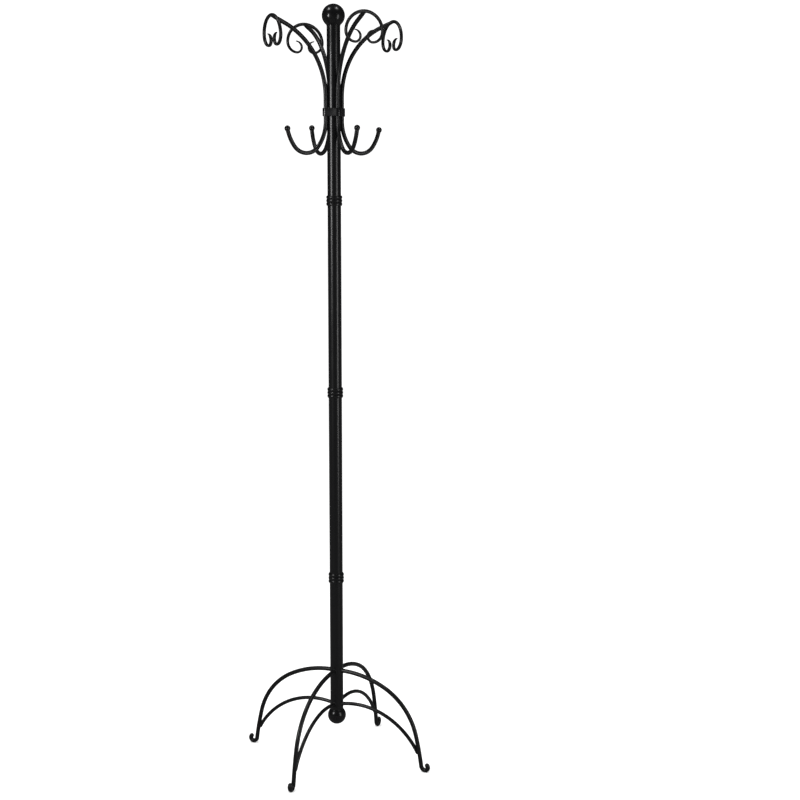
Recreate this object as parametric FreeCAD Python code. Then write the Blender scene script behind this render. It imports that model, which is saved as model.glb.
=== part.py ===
import FreeCAD, Part
import math
import os

# A standing coat rack in painted steel: a tube pole in four sections that screw together, on four
# bowed rod legs with curled feet, under a head of four S-bent rods that end in ram's horn scrolls.
# The Z axis is the pole's axis, z = 0 is the floor, and two of the head's arms lie along X.
# All sizes are in millimetres and degrees.

# ---- Overall sizes ----
overall_height = 1828.8
foot_reach = 239.0
arm_count = 4
leg_count = 4
legs_turned_from_arms = 36.93

# ---- Pole tube and its four sections ----
pole_diameter = 32.0
pole_wall = 1.2
seam_count = 3
first_seam_height = 459.8
middle_section_length = 457.8
tube_end_chamfer = 0.3

# ---- Finial balls ----
top_ball_diameter = 54.0
base_ball_diameter = 45.0
base_ball_height = 109.6
ball_wall = 2.0
spigot_length = 18.0
spigot_wall = 2.5

# ---- Screw joints between the sections ----
stud_diameter = 10.0
stud_length = 34.0
thread_engagement = 12.0
socket_clearance = 0.1
flange_thickness = 2.5
flange_overhang = 0.7
plug_depth = 18.0
plug_lead_chamfer = 1.0
seat_gap = 0.05

# ---- Ring collars over the seams ----
collar_height = 24.0
collar_wall = 0.8
collar_beads = 3
bead_groove_depth = 1.2
collar_running_gap = 0.1
collar_skirt_gap = 0.3

# ---- Legs: bent rod, bowed out and curled under at the foot ----
leg_rod_diameter = 10.5
leg_height = 224.8
leg_bends = (27.0, 48.9, 6.3)
leg_middle_radius = 166.0
foot_curl_radius = 10.5
foot_tip_radius = 7.8
foot_tip_turn = 140.0
foot_flat_depth = 0.4

# ---- Braces: thinner rod from low on the pole to the inner side of each leg ----
brace_rod_diameter = 9.0
brace_height = 140.2
brace_start_slope = 11.6
brace_bends = (39.7, 32.4)
brace_meets_leg_height = 48.0

# ---- Head rods: each one a hook below the band and an arm above it ----
head_rod_diameter = 10.0
rod_seat_gap = 0.1
head_drop = 248.0
hook_bend_below_band = 20.4
arm_bend_above_band = 33.1
hook_bends = ((98.0, 37.5), (38.0, 106.3), (99.0, 25.6))
arm_bends = ((195.0, 13.1), (179.0, 51.8))
arm_end_length = 36.0
tip_ball_diameter = 14.0

# ---- Band round the four head rods ----
band_width = 19.0
band_thickness = 2.4
band_edge_round = 0.6

# ---- Ram's horn scrolls: rod drawn down to flat thin tips ----
scroll_rod_size = (8.0, 8.0)
scroll_top_radius = 47.8
scroll_top_turn = 45.0
scroll_side_radius = 41.7
scroll_side_turn = 45.0
scroll_lower_radius = 24.0
scroll_lower_turn = 90.0
scroll_curl_radius = 12.8
scroll_curl_turn = 125.0
scroll_tip_radius = 15.5
scroll_tip_turn = 52.0
scroll_over_arm = 0.5
scroll_shoulder_size = (7.8, 8.2)
scroll_side_size = (7.0, 8.4)
scroll_curl_size = (5.8, 9.0)
scroll_inner_size = (4.6, 8.4)
scroll_tip_size = (2.8, 5.0)
scroll_lean = 3.0
scroll_section_turn = 18.0

# ---- Places that follow from the sizes above ----
pole_radius = pole_diameter / 2
bore_radius = pole_radius - pole_wall
top_ball_height = overall_height - top_ball_diameter / 2
seam_heights = [first_seam_height + n * middle_section_length for n in range(seam_count)]
band_height = overall_height - head_drop
rod_seat_radius = pole_radius + rod_seat_gap + head_rod_diameter / 2
collar_rows = 2 * collar_beads

AXIS = FreeCAD.Vector(0, 0, 1)
ORIGIN = FreeCAD.Vector(0, 0, 0)
EIGHTH_TURN = 45.0
OVAL_POINTS = 8
LEVEL_EDGE_LIMIT = 1e-6


def point(x, z, y=0.0):
    return FreeCAD.Vector(x, y, z)


def heading_vector(degrees):
    """Unit vector in the X-Z plane, counted from +X towards +Z."""
    turn = math.radians(degrees)
    return point(math.cos(turn), math.sin(turn))


def ball_flat_distance(ball_radius):
    """How far from a ball's centre the tube's end meets its surface."""
    return math.sqrt(ball_radius ** 2 - pole_radius ** 2)


def revolved(outline):
    """Solid turned about the pole's axis from a closed outline of edges in the X-Z plane."""
    face = Part.Face(Part.Wire(outline))
    return face.revolve(ORIGIN, AXIS, 360)


def turned(corners):
    """Solid turned about the pole's axis from (radius, height) corners."""
    points = [point(radius, height) for radius, height in corners]
    loop = points + points[:1]
    return revolved([Part.makeLine(a, b) for a, b in zip(loop, loop[1:])])


def around_pole(shape, number, count, start_angle=0.0):
    copy = shape.copy()
    copy.rotate(ORIGIN, AXIS, start_angle + number * 360.0 / count)
    return copy


class Trail:
    """A line of straight lengths and tangent arcs in the X-Z plane, for bent rod to follow."""

    def __init__(self, start, heading):
        self.start = start
        self.start_heading = heading
        self.place = start
        self.heading = heading
        self.edges = []

    def straight(self, length):
        end = self.place + heading_vector(self.heading) * length
        self.edges.append(Part.makeLine(self.place, end))
        self.place = end

    def arc(self, radius, turn):
        """Bend by turn degrees, positive towards the left of the heading."""
        side = math.copysign(90.0, turn)
        centre = self.place + heading_vector(self.heading + side) * radius
        middle = centre - heading_vector(self.heading + side + turn / 2) * radius
        end = centre - heading_vector(self.heading + side + turn) * radius
        self.edges.append(Part.Arc(self.place, middle, end).toShape())
        self.place = end
        self.heading += turn

    def rod(self, diameter):
        """Round rod swept along the trail."""
        section = Part.makeCircle(diameter / 2, self.start, heading_vector(self.start_heading))
        return Part.Wire(self.edges).makePipeShell([Part.Wire(section)], True, False)


def arc_step(heading, turn):
    """Displacement of a tangent arc of radius 1 that bends by turn degrees."""
    side = math.copysign(90.0, turn)
    return heading_vector(heading + side) - heading_vector(heading + side + turn)


def radii_to_reach(step, first, last):
    """The two arc radii whose unit steps first and last add up to step."""
    spread = first.x * last.z - first.z * last.x
    first_radius = (step.x * last.z - step.z * last.x) / spread
    last_radius = (first.x * step.z - first.z * step.x) / spread
    return first_radius, last_radius


def pole_core():
    """The pole as one solid bar, for cutting saddles in what is welded to it."""
    core = Part.makeCylinder(pole_radius, overall_height)
    core.rotate(ORIGIN, AXIS, 180)
    return core


def end_rims(cylinder):
    """The round edges at a cylinder's two ends."""
    return [edge for edge in cylinder.Edges if edge.Curve.TypeId == "Part::GeomCircle"]


def tube(low, high):
    """One section of the pole, with both ends lightly chamfered."""
    body = Part.makeCylinder(pole_radius, high - low, point(0, low))
    body = body.makeChamfer(tube_end_chamfer, end_rims(body))
    return body.cut(Part.makeCylinder(bore_radius, high - low, point(0, low)))


def finial(ball_diameter, centre_height, towards_tube):
    """Hollow ball with a flat for the tube's end and a spigot that is pressed into its bore."""
    radius = ball_diameter / 2
    hollow_radius = radius - ball_wall
    spigot_bore = bore_radius - spigot_wall
    flat = ball_flat_distance(radius)
    spigot_end = flat + spigot_length
    hollow_mouth = math.sqrt(hollow_radius ** 2 - spigot_bore ** 2)
    far_outside = heading_vector(-EIGHTH_TURN) * radius
    far_inside = heading_vector(-EIGHTH_TURN) * hollow_radius
    corners = [
        point(pole_radius, flat), point(bore_radius, flat), point(bore_radius, spigot_end),
        point(spigot_bore, spigot_end), point(spigot_bore, hollow_mouth),
    ]
    outline = [Part.makeLine(a, b) for a, b in zip(corners, corners[1:])]
    outline.append(Part.Arc(corners[-1], far_inside, point(0, -hollow_radius)).toShape())
    outline.append(Part.makeLine(point(0, -hollow_radius), point(0, -radius)))
    outline.append(Part.Arc(point(0, -radius), far_outside, corners[0]).toShape())
    ball = revolved(outline)
    if towards_tube < 0:
        ball = ball.mirror(ORIGIN, AXIS)
    ball.translate(point(0, centre_height))
    return ball


def socket_plug(seam):
    """Plug with a tapped hole, pressed into the upper end of the section below a seam."""
    top = seam - seat_gap / 2
    under_flange = seam - flange_thickness
    bottom = under_flange - plug_depth
    bore = stud_diameter / 2 + socket_clearance
    return turned([
        (bore, top), (pole_radius + flange_overhang, top),
        (pole_radius + flange_overhang, under_flange), (bore_radius, under_flange),
        (bore_radius, bottom + plug_lead_chamfer), (bore_radius - plug_lead_chamfer, bottom),
        (bore, bottom),
    ])


def stud_plug(seam):
    """Plug that holds the stud, pressed into the lower end of the section above a seam."""
    bottom = seam + seat_gap / 2
    over_flange = seam + flange_thickness
    top = over_flange + plug_depth
    bore = stud_diameter / 2
    return turned([
        (bore, bottom), (pole_radius + flange_overhang, bottom),
        (pole_radius + flange_overhang, over_flange), (bore_radius, over_flange),
        (bore_radius, top - plug_lead_chamfer), (bore_radius - plug_lead_chamfer, top),
        (bore, top),
    ])


def stud(seam):
    """Screwed stud, fast in the plug above the seam and screwed into the one below it."""
    bottom = seam - thread_engagement
    body = Part.makeCylinder(stud_diameter / 2, stud_length, point(0, bottom))
    return body.makeChamfer(plug_lead_chamfer, end_rims(body))


def collar(seam):
    """Beaded ring hung on the upper plug's flange, with its skirt over the seam."""
    upper_bore = pole_radius + collar_running_gap
    skirt_bore = pole_radius + flange_overhang + collar_skirt_gap
    shoulder = seam + flange_thickness + seat_gap
    low = seam - collar_height / 2
    high = seam + collar_height / 2
    groove = skirt_bore + collar_wall
    crest = groove + bead_groove_depth
    row = collar_height / collar_rows
    inside = [
        point(groove, high), point(upper_bore, high), point(upper_bore, shoulder),
        point(skirt_bore, shoulder), point(skirt_bore, low), point(groove, low),
    ]
    outline = [Part.makeLine(a, b) for a, b in zip(inside, inside[1:])]
    for bead in range(collar_beads):
        start = low + 2 * bead * row
        bulge = Part.Arc(point(groove, start), point(crest, start + row), point(groove, start + 2 * row))
        outline.append(bulge.toShape())
    return revolved(outline)


def leg_trail():
    """The leg's centre line, from the pole's surface to the end of the foot's curl."""
    start = point(pole_radius, leg_height)
    headings = [0.0, -leg_bends[0], -leg_bends[0] - leg_bends[1]]
    foot_heading = -sum(leg_bends)
    curl_centre = point(foot_reach, foot_curl_radius + leg_rod_diameter / 2 - foot_flat_depth)
    curl_start = curl_centre - heading_vector(foot_heading + 90) * foot_curl_radius
    middle_step = arc_step(headings[1], -leg_bends[1]) * leg_middle_radius
    first_unit = arc_step(headings[0], -leg_bends[0])
    last_unit = arc_step(headings[2], -leg_bends[2])
    radii = radii_to_reach(curl_start - start - middle_step, first_unit, last_unit)
    trail = Trail(point(0, leg_height), 0.0)
    trail.straight(pole_radius)
    trail.arc(radii[0], -leg_bends[0])
    trail.arc(leg_middle_radius, -leg_bends[1])
    trail.arc(radii[1], -leg_bends[2])
    trail.lower_radius = radii[1]
    trail.lower_centre = trail.place + heading_vector(foot_heading - 90) * radii[1]
    trail.arc(foot_curl_radius, -foot_heading)
    trail.arc(foot_tip_radius, foot_tip_turn)
    return trail


def leg():
    """Leg coped to the pole, with a rounded curl end and a small flat worn where it stands."""
    trail = leg_trail()
    rod = trail.rod(leg_rod_diameter)
    rod = rod.fuse(Part.makeSphere(leg_rod_diameter / 2, trail.place))
    rod = rod.cut(pole_core())
    floor_block = Part.makeBox(foot_reach, leg_rod_diameter, leg_rod_diameter)
    floor_block.translate(point(foot_reach / 2, -leg_rod_diameter, -leg_rod_diameter / 2))
    return rod.cut(floor_block).removeSplitter()


def brace(leg_solid):
    """Brace coped to the pole at its inner end and to the leg at its outer end."""
    trail = leg_trail()
    rise = brace_meets_leg_height - trail.lower_centre.z
    leg_line = trail.lower_centre.x + math.sqrt(trail.lower_radius ** 2 - rise ** 2)
    inward = (trail.lower_centre - point(leg_line, brace_meets_leg_height)).normalize()
    end = point(leg_line, brace_meets_leg_height) + inward * (leg_rod_diameter / 2)
    start = point(pole_radius, brace_height)
    first_unit = arc_step(brace_start_slope, -brace_bends[0])
    last_unit = arc_step(brace_start_slope - brace_bends[0], -brace_bends[1])
    radii = radii_to_reach(end - start, first_unit, last_unit)
    run_in = pole_radius / math.cos(math.radians(brace_start_slope))
    path = Trail(start - heading_vector(brace_start_slope) * run_in, brace_start_slope)
    path.straight(run_in)
    path.arc(radii[0], -brace_bends[0])
    path.arc(radii[1], -brace_bends[1])
    rod = path.rod(brace_rod_diameter)
    rod = rod.fuse(Part.makeSphere(brace_rod_diameter / 2, path.place))
    rod = rod.cut(pole_core())
    return rod.cut(leg_solid)


def hook_trail():
    """The hook's centre line, from the band down and out to its tip."""
    trail = Trail(point(rod_seat_radius, band_height - hook_bend_below_band), -90.0)
    for radius, turn in hook_bends:
        trail.arc(radius, turn)
    return trail


def head_rod_trail():
    """The whole rod's centre line, from the hook's tip to the arm's end."""
    hook = hook_trail()
    trail = Trail(hook.place, hook.heading + 180)
    for radius, turn in reversed(hook_bends):
        trail.arc(radius, -turn)
    trail.straight(hook_bend_below_band + arm_bend_above_band)
    for radius, turn in arm_bends:
        trail.arc(radius, -turn)
    trail.straight(arm_end_length)
    return trail


def tip_ball(rod):
    """Ball with a blind hole, set over the hook's end."""
    ball = Part.makeSphere(tip_ball_diameter / 2, hook_trail().place)
    return ball.cut(rod)


def flat_hull(rod_radius, low, high):
    """Prism round the four head rods, with flats between them."""
    side = rod_seat_radius / math.sqrt(2)
    outline = Part.makePlane(2 * side, 2 * side, FreeCAD.Vector(-side, -side, low))
    ring = outline.OuterWire.makeOffset2D(rod_radius)
    prism = Part.Face(ring).extrude(point(0, high - low))
    prism.rotate(ORIGIN, AXIS, EIGHTH_TURN)
    return prism


def head_band():
    """Closed band of flat strip, drawn tight over the four head rods."""
    inner_radius = head_rod_diameter / 2 + rod_seat_gap
    low = band_height - band_width / 2
    high = band_height + band_width / 2
    outside = flat_hull(inner_radius + band_thickness, low, high)
    rims = [edge for edge in outside.Edges if edge.BoundBox.ZLength < LEVEL_EDGE_LIMIT]
    outside = outside.makeFillet(band_edge_round, rims)
    return outside.cut(flat_hull(inner_radius, low, high))


def oval(place, heading, in_plane, across):
    """Closed oval section square to the heading, in_plane thick and across wide."""
    normal = heading_vector(heading + 90) * (in_plane / 2)
    sideways = FreeCAD.Vector(0, across / 2, 0)
    turns = [math.radians(360.0 / OVAL_POINTS * n) for n in range(OVAL_POINTS)]
    rim = [place + normal * math.cos(turn) + sideways * math.sin(turn) for turn in turns]
    curve = Part.BSplineCurve()
    curve.interpolate(rim, PeriodicFlag=True)
    return Part.Wire(curve.toShape())


def between(start, end, share):
    return start + (end - start) * share


def scroll_sections():
    """Ovals along a scroll, from the tip of one curl over the top to the tip of the other."""
    stretches = [
        (scroll_top_radius, scroll_top_turn, scroll_rod_size, scroll_shoulder_size),
        (scroll_side_radius, scroll_side_turn, scroll_shoulder_size, scroll_side_size),
        (scroll_lower_radius, scroll_lower_turn, scroll_side_size, scroll_curl_size),
        (scroll_curl_radius, scroll_curl_turn, scroll_curl_size, scroll_inner_size),
        (scroll_tip_radius, scroll_tip_turn, scroll_inner_size, scroll_tip_size),
    ]
    trail = Trail(ORIGIN, 0.0)
    sections = [oval(ORIGIN, 0.0, *scroll_rod_size)]
    for radius, turn, start_size, end_size in stretches:
        steps = math.ceil(turn / scroll_section_turn)
        for step in range(1, steps + 1):
            trail.arc(radius, -turn / steps)
            in_plane = between(start_size[0], end_size[0], step / steps)
            across = between(start_size[1], end_size[1], step / steps)
            mirrored = point(-trail.place.x, trail.place.z)
            sections.append(oval(trail.place, trail.heading, in_plane, across))
            sections.insert(0, oval(mirrored, -trail.heading, in_plane, across))
    return sections


def scroll():
    """Ram's horn scroll: a round bow whose ends are drawn flat and curled in under it."""
    bow = Part.makeLoft(scroll_sections(), True, False)
    bow.rotate(ORIGIN, AXIS, 90)
    bow.rotate(ORIGIN, FreeCAD.Vector(0, 1, 0), scroll_lean)
    bow.translate(head_rod_trail().place + point(0, scroll_over_arm))
    return bow


def head_rod(scroll_solid):
    """Hook, upright and arm in one bent rod, with the arm's end coped to its scroll."""
    rod = head_rod_trail().rod(head_rod_diameter)
    return rod.cut(scroll_solid)


def save(shape, name):
    shape.exportStep(os.path.join("parts", name + ".step"))


os.makedirs("parts", exist_ok=True)

top_tube_end = top_ball_height - ball_flat_distance(top_ball_diameter / 2)
base_tube_end = base_ball_height + ball_flat_distance(base_ball_diameter / 2)
tube_ends = [
    ("base_post", base_tube_end, seam_heights[0] - flange_thickness),
    ("pole_section_2", seam_heights[0] + flange_thickness, seam_heights[1] - flange_thickness),
    ("pole_section_3", seam_heights[1] + flange_thickness, seam_heights[2] - flange_thickness),
    ("pole_section_4", seam_heights[2] + flange_thickness, top_tube_end),
]
for name, low, high in tube_ends:
    save(tube(low, high), name)

for number, seam in enumerate(seam_heights, start=1):
    save(socket_plug(seam), f"socket_plug_{number}")
    save(stud_plug(seam), f"stud_plug_{number}")
    save(stud(seam), f"joint_stud_{number}")
    save(collar(seam), f"joint_collar_{number}")

save(finial(base_ball_diameter, base_ball_height, 1), "base_ball")
save(finial(top_ball_diameter, top_ball_height, -1), "top_ball")

first_leg = leg()
first_brace = brace(first_leg)
for number in range(leg_count):
    save(around_pole(first_leg, number, leg_count, legs_turned_from_arms), f"leg_{number + 1}")
    save(around_pole(first_brace, number, leg_count, legs_turned_from_arms), f"brace_{number + 1}")

first_scroll = scroll()
first_rod = head_rod(first_scroll)
first_tip = tip_ball(first_rod)
for number in range(arm_count):
    save(around_pole(first_rod, number, arm_count), f"hook_rod_{number + 1}")
    save(around_pole(first_tip, number, arm_count), f"hook_tip_{number + 1}")
    save(around_pole(first_scroll, number, arm_count), f"scroll_{number + 1}")

save(head_band(), "head_band")
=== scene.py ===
import bpy
import math
import random
from mathutils import Matrix, Vector


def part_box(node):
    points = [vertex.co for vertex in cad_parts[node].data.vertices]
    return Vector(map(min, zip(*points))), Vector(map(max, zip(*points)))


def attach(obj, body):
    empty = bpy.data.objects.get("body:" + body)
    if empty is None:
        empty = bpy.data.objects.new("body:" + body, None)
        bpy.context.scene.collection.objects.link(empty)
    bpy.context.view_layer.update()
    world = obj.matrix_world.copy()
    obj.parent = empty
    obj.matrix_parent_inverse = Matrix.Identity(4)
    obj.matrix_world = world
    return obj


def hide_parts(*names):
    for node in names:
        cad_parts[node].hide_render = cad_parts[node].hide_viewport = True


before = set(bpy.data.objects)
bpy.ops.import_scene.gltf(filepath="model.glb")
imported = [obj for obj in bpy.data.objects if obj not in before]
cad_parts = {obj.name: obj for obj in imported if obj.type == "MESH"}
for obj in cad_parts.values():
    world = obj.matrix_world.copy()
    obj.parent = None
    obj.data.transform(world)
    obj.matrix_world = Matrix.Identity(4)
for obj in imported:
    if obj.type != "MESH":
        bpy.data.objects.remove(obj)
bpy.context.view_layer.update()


# ---------------------------------------------------------------------------------------------
# The pole: four lengths of drawn steel tube, cut square, lightly chamfered and powder coated
# in satin black. Each upper length screws down on the one below it.

POLE_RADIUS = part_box("base_post")[1].x
TUBE_WALL = 0.0012
TUBE_CHAMFER = 0.0003
TUBE_STEPS = 96
TUBE_PITCH = 0.02
ON_AXIS = 1e-7
SECTION_BODIES = {
    "base_post": "base",
    "pole_section_2": "section_2",
    "pole_section_3": "section_3",
    "pole_section_4": "head",
}

PAINT_BLACK = (0.0024, 0.0024, 0.0027)
PAINT_RUBBED = (0.020, 0.0195, 0.0185)
DUST_GREY = (0.035, 0.034, 0.031)
PAINT_SPECULAR = 0.3
PEEL_STRENGTH = 0.5
DUST_DULLS = 0.35


def new_piece(name, points, faces, body, material, smooth_to=40.0):
    """Mesh piece with smooth faces, creased where they meet at more than smooth_to degrees."""
    mesh = bpy.data.meshes.new(name)
    mesh.from_pydata(points, [], faces)
    mesh.polygons.foreach_set("use_smooth", [True] * len(mesh.polygons))
    mesh.set_sharp_from_angle(angle=math.radians(smooth_to))
    mesh.update()
    piece = bpy.data.objects.new(name, mesh)
    bpy.context.scene.collection.objects.link(piece)
    mesh.materials.append(material)
    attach(piece, body)
    return piece


def lathe_mesh(outline, steps, closed):
    """Points and faces turned about the Z axis from (radius, height) points."""
    points = []
    rows = []
    for radius, height in outline:
        if radius < ON_AXIS:
            rows.append([len(points)] * steps)
            points.append((0.0, 0.0, height))
            continue
        rows.append(list(range(len(points), len(points) + steps)))
        for step in range(steps):
            angle = 2 * math.pi * step / steps
            points.append((radius * math.cos(angle), radius * math.sin(angle), height))
    pairs = list(zip(rows, rows[1:]))
    if closed:
        pairs.append((rows[-1], rows[0]))
    faces = []
    for low, high in pairs:
        for step in range(steps):
            ahead = (step + 1) % steps
            corners = list(dict.fromkeys((low[step], low[ahead], high[ahead], high[step])))
            if len(corners) > 2:
                faces.append(corners)
    return points, faces


def turned_piece(name, outline, body, material, closed=True):
    """Piece turned on a lathe about the pole's axis."""
    return new_piece(name, *lathe_mesh(outline, TUBE_STEPS, closed), body, material)


def arc_points(centre, radius, start, end, steps):
    """(x, z) points along an arc, from start to end degrees."""
    angles = [math.radians(start + (end - start) * n / steps) for n in range(steps + 1)]
    return [(centre[0] + radius * math.cos(a), centre[1] + radius * math.sin(a)) for a in angles]


def node_in(tree, kind, links=(), **settings):
    """Shader node with its settings, and with its inputs set or linked by name or number."""
    node = tree.nodes.new(kind)
    for key, value in settings.items():
        setattr(node, key, value)
    for socket, value in links:
        if isinstance(value, bpy.types.NodeSocket):
            tree.links.new(value, node.inputs[socket])
        else:
            node.inputs[socket].default_value = value
    return node


def effect_group(name, inputs, outputs):
    """Empty shader node group with named float inputs and outputs, and its two end nodes."""
    tree = bpy.data.node_groups.new(name, "ShaderNodeTree")
    for socket, value in inputs:
        made = tree.interface.new_socket(socket, in_out="INPUT", socket_type="NodeSocketFloat")
        made.default_value = value
    for socket in outputs:
        tree.interface.new_socket(socket, in_out="OUTPUT", socket_type="NodeSocketFloat")
    start = tree.nodes.new("NodeGroupInput")
    end = tree.nodes.new("NodeGroupOutput")
    return tree, start, end


def noise(tree, place, scale, detail=2.0):
    links = [("Vector", place), ("Scale", scale), ("Detail", detail)]
    return node_in(tree, "ShaderNodeTexNoise", links).outputs["Fac"]


def spread(tree, value, low, high, to_low=0.0, to_high=1.0):
    """Map a value from low..high to to_low..to_high, held at the ends."""
    links = [("Value", value), ("From Min", low), ("From Max", high)]
    links += [("To Min", to_low), ("To Max", to_high)]
    return node_in(tree, "ShaderNodeMapRange", links).outputs["Result"]


def times(tree, first, second):
    return node_in(tree, "ShaderNodeMath", [(0, first), (1, second)], operation="MULTIPLY").outputs[0]


# Powder coat flows out in a fine orange peel, and its gloss wanders a little from place to place.
GRIT_SCALE = 1500.0
GRIT_SHARE = 0.1
DRIFT_SCALE = 16.0
DRIFT_SPAN = (0.35, 0.65)

powder_skin, skin_in, skin_out = effect_group(
    "powder_skin", [("Peel Scale", 700.0)], ["Height", "Gloss Drift"])
skin_place = node_in(powder_skin, "ShaderNodeTexCoord").outputs["Object"]
peel = noise(powder_skin, skin_place, skin_in.outputs["Peel Scale"], 1.0)
grit = noise(powder_skin, skin_place, GRIT_SCALE, 1.0)
grit_height = times(powder_skin, grit, GRIT_SHARE)
skin_height = node_in(powder_skin, "ShaderNodeMath", [(0, peel), (1, grit_height)], operation="ADD")
drift = spread(powder_skin, noise(powder_skin, skin_place, DRIFT_SCALE, 3.0), *DRIFT_SPAN)
powder_skin.links.new(skin_height.outputs[0], skin_out.inputs["Height"])
powder_skin.links.new(drift, skin_out.inputs["Gloss Drift"])

# Fine dust lies on what faces up, thinly and in patches.
FACES_UP = (0.45, 1.0)
PATCH_SCALE = 55.0
PATCH_SPAN = (0.35, 0.75)
SPECK_SCALE = 1400.0
SPECK_SPAN = (0.5, 0.7)
BETWEEN_SPECKS = 0.35

settled_dust, dust_in, dust_out = effect_group("settled_dust", [("Amount", 0.5)], ["Mask"])
dust_place = node_in(settled_dust, "ShaderNodeTexCoord").outputs["Object"]
facing = node_in(settled_dust, "ShaderNodeNewGeometry").outputs["Normal"]
upward = node_in(settled_dust, "ShaderNodeSeparateXYZ", [(0, facing)]).outputs["Z"]
lying = spread(settled_dust, upward, *FACES_UP)
patches = spread(settled_dust, noise(settled_dust, dust_place, PATCH_SCALE, 4.0), *PATCH_SPAN)
fine_noise = noise(settled_dust, dust_place, SPECK_SCALE, 2.0)
specks = spread(settled_dust, fine_noise, *SPECK_SPAN, BETWEEN_SPECKS, 1.0)
dusty = times(settled_dust, times(settled_dust, lying, patches), specks)
dust_mask = times(settled_dust, dusty, dust_in.outputs["Amount"])
settled_dust.links.new(dust_mask, dust_out.inputs["Mask"])

# Handling rubs the coat thin and paler on the proudest edges.
PROUD_SPAN = (0.53, 0.62)
WEAR_SCALE = 260.0
WEAR_SPAN = (0.42, 0.62)

rubbed_edges, rub_in, rub_out = effect_group("rubbed_edges", [("Amount", 0.5)], ["Mask"])
rub_place = node_in(rubbed_edges, "ShaderNodeTexCoord").outputs["Object"]
proud = node_in(rubbed_edges, "ShaderNodeNewGeometry").outputs["Pointiness"]
edges = spread(rubbed_edges, proud, *PROUD_SPAN)
broken = spread(rubbed_edges, noise(rubbed_edges, rub_place, WEAR_SCALE, 5.0), *WEAR_SPAN)
rub_mask = times(rubbed_edges, times(rubbed_edges, edges, broken), rub_in.outputs["Amount"])
rubbed_edges.links.new(rub_mask, rub_out.inputs["Mask"])


def grouped(tree, group, **values):
    """Node of a shared group, with its inputs set by name."""
    node = tree.nodes.new("ShaderNodeGroup")
    node.node_tree = group
    for socket, value in values.items():
        node.inputs[socket.replace("_", " ")].default_value = value
    return node


def blended(tree, share, first, second):
    """Colour that goes from first to second with share."""
    mixed = node_in(tree, "ShaderNodeMix", data_type="RGBA")
    tree.links.new(share, mixed.inputs["Factor"])
    for socket, value in ((6, first), (7, second)):
        if isinstance(value, tuple):
            mixed.inputs[socket].default_value = (*value, 1.0)
        else:
            tree.links.new(value, mixed.inputs[socket])
    return mixed.outputs[2]


def black_coat(name, peel_scale, peel_depth, gloss, dust, rub):
    """Satin black powder coat: roughness runs over the gloss pair, low to high."""
    material = bpy.data.materials.new(name)
    material.use_nodes = True
    tree = material.node_tree
    paint = tree.nodes["Principled BSDF"]
    skin = grouped(tree, powder_skin, Peel_Scale=peel_scale)
    dusting = grouped(tree, settled_dust, Amount=dust).outputs["Mask"]
    rubbing = grouped(tree, rubbed_edges, Amount=rub).outputs["Mask"]
    rubbed = blended(tree, rubbing, PAINT_BLACK, PAINT_RUBBED)
    tree.links.new(blended(tree, dusting, rubbed, DUST_GREY), paint.inputs["Base Color"])
    clean = spread(tree, skin.outputs["Gloss Drift"], 0.0, 1.0, *gloss)
    dull = times(tree, dusting, DUST_DULLS)
    rough = node_in(tree, "ShaderNodeMath", [(0, clean), (1, dull)], operation="ADD")
    tree.links.new(rough.outputs[0], paint.inputs["Roughness"])
    bump = node_in(tree, "ShaderNodeBump", [("Strength", PEEL_STRENGTH), ("Distance", peel_depth)])
    tree.links.new(skin.outputs["Height"], bump.inputs["Height"])
    tree.links.new(bump.outputs["Normal"], paint.inputs["Normal"])
    paint.inputs["Specular IOR Level"].default_value = PAINT_SPECULAR
    return material


tube_coat = black_coat("tube_coat", 220.0, 0.000008, (0.26, 0.30), 0.25, 0.5)


def tube_outline(low, high):
    """Wall of one tube: chamfered rims and rows at an even pitch up its outside."""
    bore = POLE_RADIUS - TUBE_WALL
    rows = max(2, round((high - low) / TUBE_PITCH))
    near = low + TUBE_CHAMFER
    far = high - TUBE_CHAMFER
    outside = [(POLE_RADIUS, near + (far - near) * n / rows) for n in range(rows + 1)]
    rim = POLE_RADIUS - TUBE_CHAMFER
    return [(bore, low), (rim, low), *outside, (rim, high), (bore, high)]


for node, body in SECTION_BODIES.items():
    low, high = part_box(node)
    tube = turned_piece(f"{node}_tube", tube_outline(low.z, high.z), body, tube_coat)
    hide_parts(node)


# ---------------------------------------------------------------------------------------------
# The finials: two hollow pressed steel balls. Each one has a flat that the tube's end butts on,
# a spigot pressed into the tube's bore, and a thin ring of weld round the neck under the paint.

BALL_WALL = 0.002
SPIGOT_WALL = 0.0025
BALL_STEPS = 48
NECK_BEAD = 0.0009
NECK_BEAD_START = -20.0
NECK_BEAD_STEPS = 6

ball_coat = black_coat("ball_coat", 220.0, 0.00001, (0.20, 0.26), 0.3, 0.4)


def ball_outline(radius, neck):
    """Half section of a finial, its centre at height 0 and its neck above it."""
    inside = radius - BALL_WALL
    bore = POLE_RADIUS - TUBE_WALL
    spigot = bore - SPIGOT_WALL
    flat = math.sqrt(radius ** 2 - POLE_RADIUS ** 2)
    shoulder = math.degrees(math.acos(POLE_RADIUS / radius))
    mouth = math.degrees(math.acos(spigot / inside))
    outer = arc_points((0.0, 0.0), radius, -90.0, shoulder, BALL_STEPS)
    bead = arc_points((POLE_RADIUS, flat), NECK_BEAD, NECK_BEAD_START, 90.0, NECK_BEAD_STEPS)
    inner = arc_points((0.0, 0.0), inside, mouth, -90.0, BALL_STEPS)
    return [*outer, *bead, (bore, flat), (bore, neck), (spigot, neck), *inner]


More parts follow.
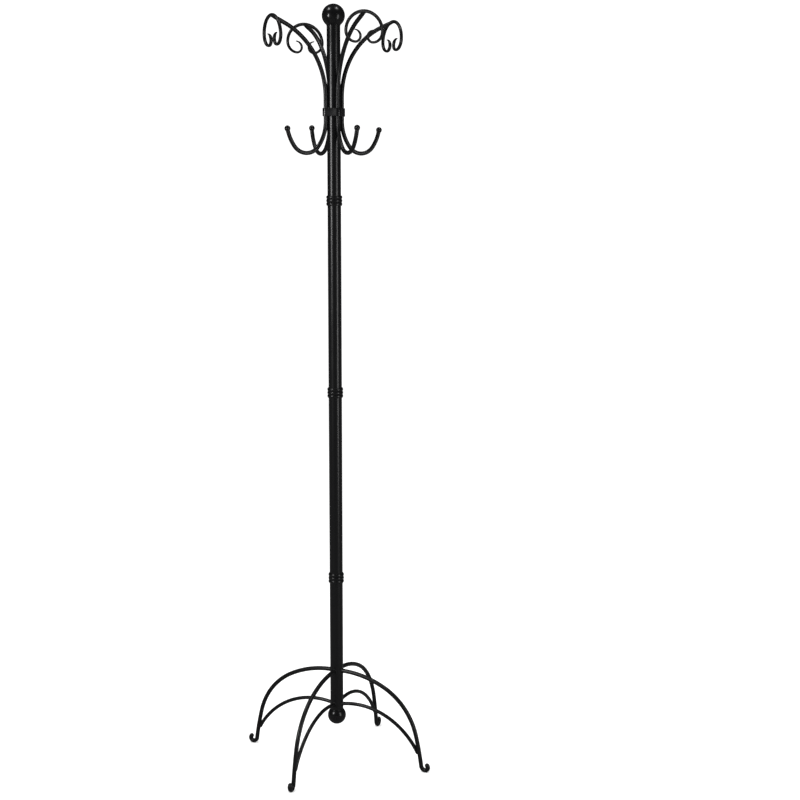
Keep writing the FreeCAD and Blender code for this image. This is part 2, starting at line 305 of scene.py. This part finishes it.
def finial(name, node, body, towards_tube):
    """Ball whose neck points up when towards_tube is 1, and down when it is -1."""
    low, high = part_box(node)
    radius = high.x
    if towards_tube > 0:
        centre = low.z + radius
        neck = high.z - centre
    else:
        centre = high.z - radius
        neck = centre - low.z
    outline = [(r, centre + towards_tube * z) for r, z in ball_outline(radius, neck)]
    if towards_tube < 0:
        outline.reverse()
    ball = turned_piece(name, outline, body, ball_coat, closed=False)
    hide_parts(node)


finial("base_ball_shell", "base_ball", "base", 1)
finial("top_ball_shell", "top_ball", "head", -1)


# ---------------------------------------------------------------------------------------------
# The screw joints inside the seams: a stud plug pressed into the upper tube with a screwed stud,
# and a tapped plug in the lower tube. They are turned steel, oiled and never painted.

THREAD_PITCH = 0.0015
THREAD_DEPTH = 0.0009
THREAD_ROWS = 8
THREAD_STEPS = 40
STUD_CHAMFER = 0.001
STEEL_BRIGHT = (0.34, 0.33, 0.31)
STEEL_OILED = (0.17, 0.15, 0.12)
TOOL_MARK_SCALE = 900.0
TOOL_MARK_DEPTH = 0.00005
OIL_SCALE = 120.0

turned_steel = bpy.data.materials.new("turned_steel")
turned_steel.use_nodes = True
steel_tree = turned_steel.node_tree
steel = steel_tree.nodes["Principled BSDF"]
steel_place = node_in(steel_tree, "ShaderNodeTexCoord").outputs["Object"]
tool_marks = node_in(
    steel_tree, "ShaderNodeTexWave",
    [("Vector", steel_place), ("Scale", TOOL_MARK_SCALE), ("Distortion", 1.5), ("Detail", 2.0)],
    bands_direction="Z").outputs["Fac"]
oil = spread(steel_tree, noise(steel_tree, steel_place, OIL_SCALE, 4.0), 0.4, 0.6)
steel_tree.links.new(blended(steel_tree, oil, STEEL_BRIGHT, STEEL_OILED), steel.inputs["Base Color"])
steel_tree.links.new(spread(steel_tree, oil, 0.0, 1.0, 0.42, 0.22), steel.inputs["Roughness"])
steel_bump = node_in(steel_tree, "ShaderNodeBump", [("Strength", 0.4), ("Distance", TOOL_MARK_DEPTH)])
steel_tree.links.new(tool_marks, steel_bump.inputs["Height"])
steel_tree.links.new(steel_bump.outputs["Normal"], steel.inputs["Normal"])
steel.inputs["Metallic"].default_value = 1.0


def threaded_stud(name, node, body):
    """Stud whose surface rises and falls with the angle and the height, as a thread does."""
    low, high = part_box(node)
    crest = high.x
    rows = round((high.z - low.z) / THREAD_PITCH * THREAD_ROWS)
    points = [(0.0, 0.0, low.z)]
    for row in range(rows + 1):
        height = low.z + (high.z - low.z) * row / rows
        taper = min(height - low.z, high.z - height)
        lead = min(0.0, taper - STUD_CHAMFER)
        for step in range(THREAD_STEPS):
            share = step / THREAD_STEPS
            phase = ((height - low.z) / THREAD_PITCH - share) % 1.0
            flank = abs(2 * phase - 1)
            radius = crest + max(lead, -STUD_CHAMFER) - THREAD_DEPTH * flank
            angle = 2 * math.pi * share
            points.append((radius * math.cos(angle), radius * math.sin(angle), height))
    points.append((0.0, 0.0, high.z))
    faces = []
    for step in range(THREAD_STEPS):
        ahead = (step + 1) % THREAD_STEPS
        faces.append((0, 1 + ahead, 1 + step))
        for row in range(rows):
            near = 1 + row * THREAD_STEPS
            far = near + THREAD_STEPS
            faces.append((near + step, near + ahead, far + ahead, far + step))
        last = 1 + rows * THREAD_STEPS
        faces.append((last + step, last + ahead, len(points) - 1))
    stud = new_piece(name, points, faces, body, turned_steel, smooth_to=30.0)
    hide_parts(node)


for number, body in enumerate(("section_2", "section_3", "head"), start=1):
    threaded_stud(f"thread_{number}", f"joint_stud_{number}", body)
    for plug in ("socket_plug", "stud_plug"):
        plug_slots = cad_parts[f"{plug}_{number}"].material_slots
        for plug_slot in plug_slots:
            plug_slot.material = turned_steel


# ---------------------------------------------------------------------------------------------
# The collars: three rings, each one turned with three round beads. A collar hangs on the flange
# of the upper tube's plug, and its skirt hides the seam.

COLLAR_COUNT = 3
COLLAR_BEADS = 3
COLLAR_GROOVE = 0.0014
COLLAR_BEAD_STEPS = 12
COLLAR_RUNNING_GAP = 0.0001
COLLAR_SHOULDER = 0.0009
COLLAR_SEAT = 0.00255

collar_coat = black_coat("collar_coat", 350.0, 0.00003, (0.24, 0.32), 0.35, 0.9)


def collar_outline(low, high, crest, shoulder):
    """Section of a collar: the beads from the bottom up, then its bore, shoulder and skirt."""
    row = (high - low) / COLLAR_BEADS
    bead_radius = (row ** 2 / 4 + COLLAR_GROOVE ** 2) / (2 * COLLAR_GROOVE)
    reach = math.degrees(math.asin(row / 2 / bead_radius))
    outline = [(crest - COLLAR_GROOVE, low)]
    for bead in range(COLLAR_BEADS):
        middle = (crest - bead_radius, low + row * (bead + 0.5))
        outline += arc_points(middle, bead_radius, -reach, reach, COLLAR_BEAD_STEPS)[1:]
    upper_bore = POLE_RADIUS + COLLAR_RUNNING_GAP
    skirt_bore = upper_bore + COLLAR_SHOULDER
    return outline + [
        (upper_bore, high), (upper_bore, shoulder), (skirt_bore, shoulder), (skirt_bore, low)]


for number in range(1, COLLAR_COUNT + 1):
    node = f"joint_collar_{number}"
    low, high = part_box(node)
    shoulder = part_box(f"stud_plug_{number}")[0].z + COLLAR_SEAT
    outline = collar_outline(low.z, high.z, high.x, shoulder)
    collar = turned_piece(f"beaded_collar_{number}", outline, f"collar_{number}", collar_coat)
    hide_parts(node)


# ---------------------------------------------------------------------------------------------
# The legs: four lengths of 10.5 mm round bar, bent in three sweeps, with the foot curled up on
# itself and upset a little thicker at its end. Each one is coped to the pole and welded all round.

LEG_COUNT = 4
LEGS_TURN = 36.93
LEG_BAR = 0.0105
LEG_START = (0.0145, 0.2248)
LEG_BENDS = ((0.24706, -27.0), (0.1660, -48.9), (0.70881, -6.3), (0.0105, 82.2), (0.0073, 135.0))
LEG_INTO_POLE = 0.0015
FOOT_SWELLS_FROM = 0.95
FOOT_SWELLS_TO = 1.08
BAR_STEPS = 32
BEND_STEP = 0.0035
BEND_DEGREES = 6
FEWEST_BEND_STEPS = 4
CAP_RINGS = 6

bar_coat = black_coat("bar_coat", 320.0, 0.00006, (0.28, 0.38), 0.45, 0.6)


class BarLine:
    """Centre line of a bent bar in the X-Z plane, as straight lengths and tangent arcs."""

    def __init__(self, start, heading):
        self.places = [start]
        self.headings = [heading]

    def straight(self, length):
        heading = math.radians(self.headings[-1])
        x, z = self.places[-1]
        steps = max(1, round(length / BEND_STEP))
        for n in range(1, steps + 1):
            along = length * n / steps
            self.places.append((x + along * math.cos(heading), z + along * math.sin(heading)))
            self.headings.append(self.headings[-1])

    def arc(self, radius, turn):
        first = self.headings[-1]
        side = math.copysign(90.0, turn)
        x, z = self.places[-1]
        towards = math.radians(first + side)
        centre = (x + radius * math.cos(towards), z + radius * math.sin(towards))
        length = radius * math.radians(abs(turn))
        steps = max(FEWEST_BEND_STEPS, round(length / BEND_STEP), round(abs(turn) / BEND_DEGREES))
        points = arc_points(centre, radius, first - side, first - side + turn, steps)
        self.places += points[1:]
        self.headings += [first + turn * n / steps for n in range(1, steps + 1)]

    def shares(self):
        """How far along the line each place is, from 0 to 1."""
        gaps = [math.dist(a, b) for a, b in zip(self.places, self.places[1:])]
        total = sum(gaps)
        done = [0.0]
        for gap in gaps:
            done.append(done[-1] + gap)
        return [length / total for length in done]


def bar_mesh(line, size_at, round_start, round_end):
    """Points and faces of a bar: size_at(share) gives its thickness in the bend and across it."""
    rings = []
    for (x, z), heading, share in zip(line.places, line.headings, line.shares()):
        rings.append((x, z, math.radians(heading), *size_at(share)))

    def cap(ring, direction):
        x, z, heading, thick, wide = ring
        reach = min(thick, wide) / 2
        made = []
        for n in range(1, CAP_RINGS):
            lift = math.radians(90.0 * n / CAP_RINGS)
            out = direction * reach * math.sin(lift)
            shrink = math.cos(lift)
            place = (x + out * math.cos(heading), z + out * math.sin(heading))
            made.append((*place, heading, thick * shrink, wide * shrink))
        return made

    if round_start:
        rings = cap(rings[0], -1)[::-1] + rings
    if round_end:
        rings = rings + cap(rings[-1], 1)
    points = []
    for x, z, heading, thick, wide in rings:
        for step in range(BAR_STEPS):
            angle = 2 * math.pi * step / BAR_STEPS
            out = thick / 2 * math.cos(angle)
            side = wide / 2 * math.sin(angle)
            points.append((x - out * math.sin(heading), -side, z + out * math.cos(heading)))
    faces = [tuple(range(BAR_STEPS - 1, -1, -1))]
    for row in range(len(rings) - 1):
        near = row * BAR_STEPS
        far = near + BAR_STEPS
        for step in range(BAR_STEPS):
            ahead = (step + 1) % BAR_STEPS
            faces.append((near + step, near + ahead, far + ahead, far + step))
    last = (len(rings) - 1) * BAR_STEPS
    faces.append(tuple(range(last, last + BAR_STEPS)))
    return points, faces


def turned_round(points, degrees):
    """Points turned about the pole's axis."""
    turn = Matrix.Rotation(math.radians(degrees), 4, "Z")
    return [turn @ Vector(point) for point in points]


def between(start, end, share):
    return start + (end - start) * share


def leg_size(share):
    """Plain bar that is upset a little thicker towards the curl's end."""
    swell = max(0.0, (share - FOOT_SWELLS_FROM) / (1 - FOOT_SWELLS_FROM))
    size = LEG_BAR * between(1.0, FOOT_SWELLS_TO, swell)
    return size, size


leg_line = BarLine(LEG_START, 0.0)
leg_line.straight(LEG_INTO_POLE)
for radius, turn in LEG_BENDS:
    leg_line.arc(radius, turn)
leg_points, leg_faces = bar_mesh(leg_line, leg_size, False, True)
leg_points = [(x, y, max(z, 0.0)) for x, y, z in leg_points]

for number in range(1, LEG_COUNT + 1):
    angle = LEGS_TURN + (number - 1) * 360 / LEG_COUNT
    leg = new_piece(f"leg_bar_{number}", turned_round(leg_points, angle), leg_faces, "base", bar_coat)
    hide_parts(f"leg_{number}")


WELD_STEPS = 10
WELD_PLACES = 36
WELD_THICKNESS = 0.0011
WELD_STANDS_OUT = WELD_THICKNESS / 3
UNEVEN_RIPPLE = 0.14
EVEN_RIPPLE = 0.06
NEARLY_UPRIGHT = 0.1


def weld_mesh(loop, thickness, seed):
    """Bead laid along a closed loop of places, rippled as a hand weld is and softened by paint."""
    dice = random.Random(seed)
    count = len(loop)
    ripple = [dice.uniform(-1.0, 1.0) for _ in loop]
    points = []
    for n, place in enumerate(loop):
        along = (loop[(n + 1) % count] - loop[n - 1]).normalized()
        across = along.cross(Vector((0.0, 0.0, 1.0)))
        if across.length < NEARLY_UPRIGHT:
            across = along.cross(Vector((1.0, 0.0, 0.0)))
        across.normalize()
        upright = across.cross(along)
        wave = (ripple[n] + ripple[n - 1] + ripple[(n + 1) % count]) / 3
        radius = thickness * (1 + UNEVEN_RIPPLE * wave + EVEN_RIPPLE * math.cos(n * math.pi))
        for step in range(WELD_STEPS):
            angle = 2 * math.pi * step / WELD_STEPS
            lift = across * math.cos(angle) + upright * math.sin(angle)
            points.append(place + lift * radius)
    faces = []
    for n in range(count):
        near = n * WELD_STEPS
        far = ((n + 1) % count) * WELD_STEPS
        for step in range(WELD_STEPS):
            ahead = (step + 1) % WELD_STEPS
            faces.append((near + ahead, near + step, far + step, far + ahead))
    return points, faces


def saddle_loop(bar_radius, height, slope):
    """Where a bar that rises at slope degrees meets the pole's surface."""
    rise = math.tan(math.radians(slope))
    lean = math.cos(math.radians(slope))
    loop = []
    for n in range(WELD_PLACES):
        angle = 2 * math.pi * n / WELD_PLACES
        side = bar_radius * math.cos(angle)
        out = math.sqrt(POLE_RADIUS ** 2 - side ** 2)
        up = bar_radius * math.sin(angle) / lean + (out - POLE_RADIUS) * rise
        loop.append(Vector((out, side, height + up)))
    return loop


weld_coat = black_coat("weld_coat", 600.0, 0.00012, (0.30, 0.42), 0.5, 0.5)


def ring_of_welds(name, loops, body, thickness=WELD_THICKNESS):
    """All the beads of one kind as one piece."""
    points = []
    faces = []
    for seed, loop in enumerate(loops):
        bead_points, bead_faces = weld_mesh(loop, thickness, seed)
        offset = len(points)
        points += bead_points
        faces += [tuple(corner + offset for corner in face) for face in bead_faces]
    welds = new_piece(name, points, faces, body, weld_coat, smooth_to=80.0)


def loops_at_legs(loop):
    """One weld's loop, repeated at each leg."""
    return [turned_round(loop, LEGS_TURN + n * 360 / LEG_COUNT) for n in range(LEG_COUNT)]


leg_saddle = saddle_loop(LEG_BAR / 2 + WELD_STANDS_OUT, LEG_START[1], 0.0)
ring_of_welds("leg_welds", loops_at_legs(leg_saddle), "base")


# ---------------------------------------------------------------------------------------------
# The braces: four lengths of 9 mm bar that arch from the foot of the pole to the legs. The outer
# end is dressed to a blunt point and melted into the leg's inner side.

BRACE_BAR = 0.009
BRACE_START = (0.016, 0.1402)
BRACE_SLOPE = 11.6
BRACE_BENDS = ((0.18654, -39.7), (0.19230, -32.4))
BRACE_SWELL_FROM = 0.955
BRACE_SWELL_TO = 1.06

brace_line = BarLine(BRACE_START, BRACE_SLOPE)
for radius, turn in BRACE_BENDS:
    brace_line.arc(radius, turn)


def brace_size(share):
    """Plain bar that swells into its weld at the outer end."""
    swell = max(0.0, (share - BRACE_SWELL_FROM) / (1 - BRACE_SWELL_FROM))
    size = BRACE_BAR * between(1.0, BRACE_SWELL_TO, math.sin(swell * math.pi / 2))
    return size, size


brace_points, brace_faces = bar_mesh(brace_line, brace_size, False, True)
for number in range(1, LEG_COUNT + 1):
    angle = LEGS_TURN + (number - 1) * 360 / LEG_COUNT
    placed = turned_round(brace_points, angle)
    brace = new_piece(f"brace_bar_{number}", placed, brace_faces, "base", bar_coat)
    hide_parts(f"brace_{number}")

brace_saddle = saddle_loop(BRACE_BAR / 2 + WELD_STANDS_OUT, BRACE_START[1], BRACE_SLOPE)
ring_of_welds("brace_welds", loops_at_legs(brace_saddle), "base")


# ---------------------------------------------------------------------------------------------
# The head rods: four lengths of 10 mm bar. Each one is a coat hook below the band, lies against
# the pole through the band, and sweeps up and out above it as an arm. A ball is set on the hook.

ARM_COUNT = 4
HEAD_BAR = 0.010
ROD_SEAT_GAP = 0.0001
SEAT_RADIUS = POLE_RADIUS + ROD_SEAT_GAP + HEAD_BAR / 2
HOOK_TOP = 1.5604
SEAT_LENGTH = 0.0535
HOOK_BENDS = ((0.098, 37.5), (0.038, 106.3), (0.099, 25.6))
ARM_BENDS = ((0.195, -13.1), (0.179, -51.8))
ARM_END = 0.0350
ARM_DRESSED_FROM = 0.965
ARM_DRESSED_TO = 0.76
TIP_BALL = 0.014
TIP_NECK = 0.0006
TIP_STEPS = 22
NECK_STEPS = 4

# What the bender left in each rod: degrees more hook, degrees more fall in the arm, metres longer.
HAND_BENT = {1: (0.0, 0.0, 0.0), 2: (3.5, 0.0, 0.0), 3: (0.0, 0.0, 0.0), 4: (0.0, -0.7, 0.002)}


def head_lines(more_hook, more_fall, longer):
    """Centre lines of one rod's hook, down from the band, and of the whole rod from the tip up."""
    bends = [*HOOK_BENDS[:-1], (HOOK_BENDS[-1][0], HOOK_BENDS[-1][1] + more_hook)]
    hook = BarLine((SEAT_RADIUS, HOOK_TOP), -90.0)
    for radius, turn in bends:
        hook.arc(radius, turn)
    rod = BarLine(hook.places[-1], hook.headings[-1] + 180)
    for radius, turn in reversed(bends):
        rod.arc(radius, -turn)
    rod.straight(SEAT_LENGTH)
    rod.arc(*ARM_BENDS[0])
    fall = ARM_BENDS[1][1] - more_fall
    same_length_radius = ARM_BENDS[1][0] * ARM_BENDS[1][1] / fall
    rod.arc(same_length_radius, fall)
    rod.straight(ARM_END + longer)
    return hook, rod


def rod_size(share):
    """Plain bar, dressed down at the arm's end to the thickness of the scroll it is welded to."""
    dressed = max(0.0, (share - ARM_DRESSED_FROM) / (1 - ARM_DRESSED_FROM))
    return HEAD_BAR * between(1.0, ARM_DRESSED_TO, dressed), HEAD_BAR


def tip_mesh(hook_end, hook_end_heading):
    """Ball with a blind bore for the hook's end, and a small round neck at the bore's mouth."""
    radius = TIP_BALL / 2
    bore = HEAD_BAR / 2
    neck_at = math.degrees(math.asin(bore / radius))
    outer = arc_points((0.0, 0.0), radius, neck_at - 90, 90.0, TIP_STEPS)[1:]
    mouth = -radius * math.cos(math.radians(neck_at))
    neck = arc_points((bore, mouth), TIP_NECK, 270.0, 360.0, NECK_STEPS)
    outline = [(0.0, 0.0), (bore, 0.0), *neck, *outer]
    points, faces = lathe_mesh(outline, BAR_STEPS, False)
    lean = Matrix.Rotation(math.radians(90 - hook_end_heading), 4, "Y")
    place = Matrix.Translation((hook_end[0], 0.0, hook_end[1]))
    return [place @ lean @ Vector(point) for point in points], faces


arm_ends = {}
for number, (more_hook, more_fall, longer) in HAND_BENT.items():
    angle = (number - 1) * 360 / ARM_COUNT
    hook_line, rod_line = head_lines(more_hook, more_fall, longer)
    arm_ends[number] = (rod_line.places[-1], rod_line.headings[-1], angle)
    rod_points, rod_faces = bar_mesh(rod_line, rod_size, False, False)
    rod = new_piece(f"head_bar_{number}", turned_round(rod_points, angle), rod_faces, "head", bar_coat)
    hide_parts(f"hook_rod_{number}")
    tip_points, tip_faces = tip_mesh(hook_line.places[-1], hook_line.headings[-1])
    tip = new_piece(f"hook_ball_{number}", turned_round(tip_points, angle), tip_faces, "head", ball_coat)
    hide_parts(f"hook_tip_{number}")


# ---------------------------------------------------------------------------------------------
# The band: a strip of 2.4 mm flat bar drawn tight round the four rods, so that it has a round
# corner over each rod and a flat between them that is drawn in a little at its middle.

BAND_THICKNESS = 0.0024
BAND_EDGE = 0.0006
BAND_EDGE_STEPS = 4
BAND_CORNER_STEPS = 14
BAND_FLAT_STEPS = 10
BAND_PULL = 0.0003

band_coat = black_coat("band_coat", 300.0, 0.00003, (0.15, 0.20), 0.4, 0.5)


def band_loop(corner_radius):
    """Plan of the band at one depth in its thickness, once round."""
    loop = []
    for corner in range(ARM_COUNT):
        middle = math.radians(90 * corner)
        hub = Vector((SEAT_RADIUS * math.cos(middle), SEAT_RADIUS * math.sin(middle)))
        for n in range(BAND_CORNER_STEPS + 1):
            angle = math.radians(90 * corner - 45 + 90 * n / BAND_CORNER_STEPS)
            loop.append(hub + corner_radius * Vector((math.cos(angle), math.sin(angle))))
        flat = math.radians(90 * corner + 45)
        normal = Vector((math.cos(flat), math.sin(flat)))
        after = SEAT_RADIUS * Vector((-math.sin(middle), math.cos(middle)))
        start = loop[-1]
        end = after + corner_radius * normal
        for n in range(1, BAND_FLAT_STEPS):
            share = n / BAND_FLAT_STEPS
            pull = BAND_PULL * math.sin(math.pi * share)
            loop.append(start.lerp(end, share) - pull * normal)
    return loop


def band_mesh(low, high):
    """Strip with rounded outer edges, once round the rods and closed on itself."""
    inner = HEAD_BAR / 2 + ROD_SEAT_GAP
    outer = inner + BAND_THICKNESS
    edge = BAND_EDGE
    section = [(inner, low), (outer - edge, low)]
    section += arc_points((outer - edge, low + edge), edge, -90.0, 0.0, BAND_EDGE_STEPS)[1:]
    section += arc_points((outer - edge, high - edge), edge, 0.0, 90.0, BAND_EDGE_STEPS)
    section += [(inner, high)]
    points = []
    for radius, height in section:
        points += [(place.x, place.y, height) for place in band_loop(radius)]
    count = len(points) // len(section)
    faces = []
    for row in range(len(section)):
        near = row * count
        far = ((row + 1) % len(section)) * count
        for n in range(count):
            ahead = (n + 1) % count
            faces.append((near + n, near + ahead, far + ahead, far + n))
    return points, faces


band_low, band_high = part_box("head_band")
band = new_piece("strip_band", *band_mesh(band_low.z, band_high.z), "head", band_coat)
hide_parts("head_band")


# ---------------------------------------------------------------------------------------------
# The scrolls: four ram's horns forged from 8 mm bar. The bow stays round, and each end is drawn
# out flat, rolled in under the bow and left as a thin tip. The arm's end is welded under the top.

SCROLL_STRETCHES = (
    (0.0478, -45.0, (0.0080, 0.0080), (0.0078, 0.0082)),
    (0.0417, -45.0, (0.0078, 0.0082), (0.0070, 0.0084)),
    (0.0240, -90.0, (0.0070, 0.0084), (0.0058, 0.0090)),
    (0.0128, -125.0, (0.0058, 0.0090), (0.0046, 0.0084)),
    (0.0155, -52.0, (0.0046, 0.0084), (0.0026, 0.0050)),
)
SCROLL_LEAN = 3.0
SCROLL_OVER_ARM = 0.0005
ARM_TO_SCROLL = 0.001
SCROLL_BAR = 0.008
SCROLL_WELD = 0.0008
SCROLL_WELD_REACH = 0.8

scroll_coat = black_coat("scroll_coat", 300.0, 0.00009, (0.28, 0.40), 0.5, 0.8)


def scroll_mesh():
    """One scroll in its own upright plane, from the tip of one curl to the tip of the other."""
    line = BarLine((0.0, 0.0), 0.0)
    sizes = [SCROLL_STRETCHES[0][2]]
    for radius, turn, start_size, end_size in SCROLL_STRETCHES:
        before = len(line.places)
        line.arc(radius, turn)
        steps = len(line.places) - before
        for n in range(1, steps + 1):
            sizes.append(tuple(between(a, b, n / steps) for a, b in zip(start_size, end_size)))
    whole = BarLine((0.0, 0.0), 0.0)
    whole.places = [(-x, z) for x, z in line.places[:0:-1]] + line.places
    whole.headings = [-heading for heading in line.headings[:0:-1]] + line.headings
    all_sizes = iter(sizes[:0:-1] + sizes)
    return bar_mesh(whole, lambda share: next(all_sizes), True, True)


def arm_end_loop(end, slope):
    """Where the arm's end meets the near side of the scroll's bar."""
    along = Vector((math.cos(slope), 0.0, math.sin(slope)))
    upright = Vector((-math.sin(slope), 0.0, math.cos(slope)))
    bar_radius = SCROLL_BAR / 2
    loop = []
    for n in range(WELD_PLACES):
        angle = 2 * math.pi * n / WELD_PLACES
        side = HEAD_BAR / 2 * math.cos(angle)
        up = bar_radius * SCROLL_WELD_REACH * math.sin(angle)
        back = math.sqrt(bar_radius ** 2 - up ** 2)
        loop.append(end - along * back + upright * up + Vector((0.0, side, 0.0)))
    return loop


scroll_points, scroll_faces = scroll_mesh()
weld_loops = []
for number, ((end_x, end_z), heading, angle) in arm_ends.items():
    slope = math.radians(heading)
    end_x += ARM_TO_SCROLL * math.cos(slope)
    end_z += ARM_TO_SCROLL * math.sin(slope)
    stand = Matrix.Translation((end_x, 0.0, end_z + SCROLL_OVER_ARM))
    stand @= Matrix.Rotation(math.radians(SCROLL_LEAN), 4, "Y")
    stand @= Matrix.Rotation(math.radians(90), 4, "Z")
    placed = turned_round([stand @ Vector(point) for point in scroll_points], angle)
    scroll = new_piece(f"scroll_bar_{number}", placed, scroll_faces, "head", scroll_coat)
    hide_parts(f"scroll_{number}")
    weld_loops.append(turned_round(arm_end_loop(Vector((end_x, 0.0, end_z)), slope), angle))

ring_of_welds("scroll_welds", weld_loops, "head", thickness=SCROLL_WELD)


# ---------------------------------------------------------------------------------------------
# The studio: a wide pale floor under an even white surround, two tall lamps low on either side for
# the long streaks of light on the tube, two more overhead, and the camera.

FLOOR_SIZE = 60.0
FLOOR_ROUGHNESS = 0.9
FLOOR_PALE = (0.92, 0.92, 0.92)
FLOOR_WORN = (0.88, 0.88, 0.88)
# Dark grey that only glossy rays see on the floor: painted shade in the floor's reflection on the paint.
FLOOR_PAINTED_SHADE_IN_GLOSS = (0.13, 0.13, 0.13)
SURROUND = 1.16
SURROUND_IN_GLOSS = 0.05
CAMERA_TURN = 26.24
CAMERA_DISTANCE = 3.6079
CAMERA_HEIGHT = 1.4277
CAMERA_PAN = 2.475
CAMERA_TILT = 8.337
CAMERA_ROLL = 0.063
CAMERA_LENS = 68.06
CAMERA_SENSOR = 36.0
CAMERA_SEES_TO = 200.0

floor_mesh = bpy.data.meshes.new("floor")
half = FLOOR_SIZE / 2
corners = [(-half, -half, 0.0), (half, -half, 0.0), (half, half, 0.0), (-half, half, 0.0)]
floor_mesh.from_pydata(corners, [], [(0, 1, 2, 3)])
floor = bpy.data.objects.new("floor", floor_mesh)
bpy.context.scene.collection.objects.link(floor)
floor_paint = bpy.data.materials.new("pale_floor")
floor_paint.use_nodes = True
floor_tree = floor_paint.node_tree
floor_place = node_in(floor_tree, "ShaderNodeTexCoord").outputs["Object"]
floor_shade = spread(floor_tree, noise(floor_tree, floor_place, 3.0, 4.0), 0.3, 0.7)
floor_pale = blended(floor_tree, floor_shade, FLOOR_PALE, FLOOR_WORN)
# The camera and diffuse rays see the pale floor, but glossy rays see it dark grey: painted shade in its
# reflections.
floor_rays = node_in(floor_tree, "ShaderNodeLightPath").outputs["Is Glossy Ray"]
floor_top = floor_tree.nodes["Principled BSDF"]
floor_pale_or_painted_shade = blended(floor_tree, floor_rays, floor_pale, FLOOR_PAINTED_SHADE_IN_GLOSS)
floor_tree.links.new(floor_pale_or_painted_shade, floor_top.inputs["Base Color"])
floor_top.inputs["Roughness"].default_value = FLOOR_ROUGHNESS
floor_top.inputs["Specular IOR Level"].default_value = 0.0
floor_mesh.materials.append(floor_paint)

world = bpy.data.worlds.new("white_surround")
world.use_nodes = True
surround = world.node_tree
glossy_rays = node_in(surround, "ShaderNodeLightPath").outputs["Is Glossy Ray"]
surround_light = spread(surround, glossy_rays, 0.0, 1.0, SURROUND, SURROUND_IN_GLOSS)
surround.links.new(surround_light, surround.nodes["Background"].inputs["Strength"])
surround.nodes["Background"].inputs["Color"].default_value = (1.0, 1.0, 1.0, 1.0)
bpy.context.scene.world = world


def lamp(name, turn, distance, height, size, power, aim_height):
    """Soft rectangular lamp, turn degrees round the pole to the right of the camera."""
    angle = math.radians(-90 - CAMERA_TURN + turn)
    place = Vector((distance * math.cos(angle), distance * math.sin(angle), height))
    light = bpy.data.lights.new(name, "AREA")
    light.shape = "RECTANGLE"
    light.size, light.size_y = size
    light.energy = power
    holder = bpy.data.objects.new(name, light)
    holder.location = place
    aim = Vector((0.0, 0.0, aim_height)) - place
    holder.rotation_euler = aim.to_track_quat("-Z", "Y").to_euler()
    bpy.context.scene.collection.objects.link(holder)


lamp("left_strip", -50, 2.6, 1.62, (0.26, 0.84), 37, 1.6)
lamp("right_strip", 48, 2.8, 1.05, (0.35, 1.7), 25, 1.1)
lamp("left_top", -72, 1.6, 4.0, (0.6, 0.6), 30, 1.8)
lamp("right_top", 67, 1.2, 4.2, (0.6, 0.6), 22, 1.8)

camera = bpy.data.objects.new("camera", bpy.data.cameras.new("camera"))
turn = math.radians(CAMERA_TURN)
camera.location = (
    -CAMERA_DISTANCE * math.sin(turn), -CAMERA_DISTANCE * math.cos(turn), CAMERA_HEIGHT)
facing_turn = Matrix.Rotation(math.radians(-CAMERA_TURN - CAMERA_PAN), 4, "Z")
facing_tilt = Matrix.Rotation(math.radians(90 - CAMERA_TILT), 4, "X")
facing_roll = Matrix.Rotation(math.radians(CAMERA_ROLL), 4, "Z")
camera.rotation_euler = (facing_turn @ facing_tilt @ facing_roll).to_euler()
camera.data.lens = CAMERA_LENS
camera.data.sensor_width = CAMERA_SENSOR
camera.data.clip_end = CAMERA_SEES_TO
bpy.context.scene.collection.objects.link(camera)
bpy.context.scene.camera = camera
bpy.context.scene.view_settings.view_transform = "Standard"
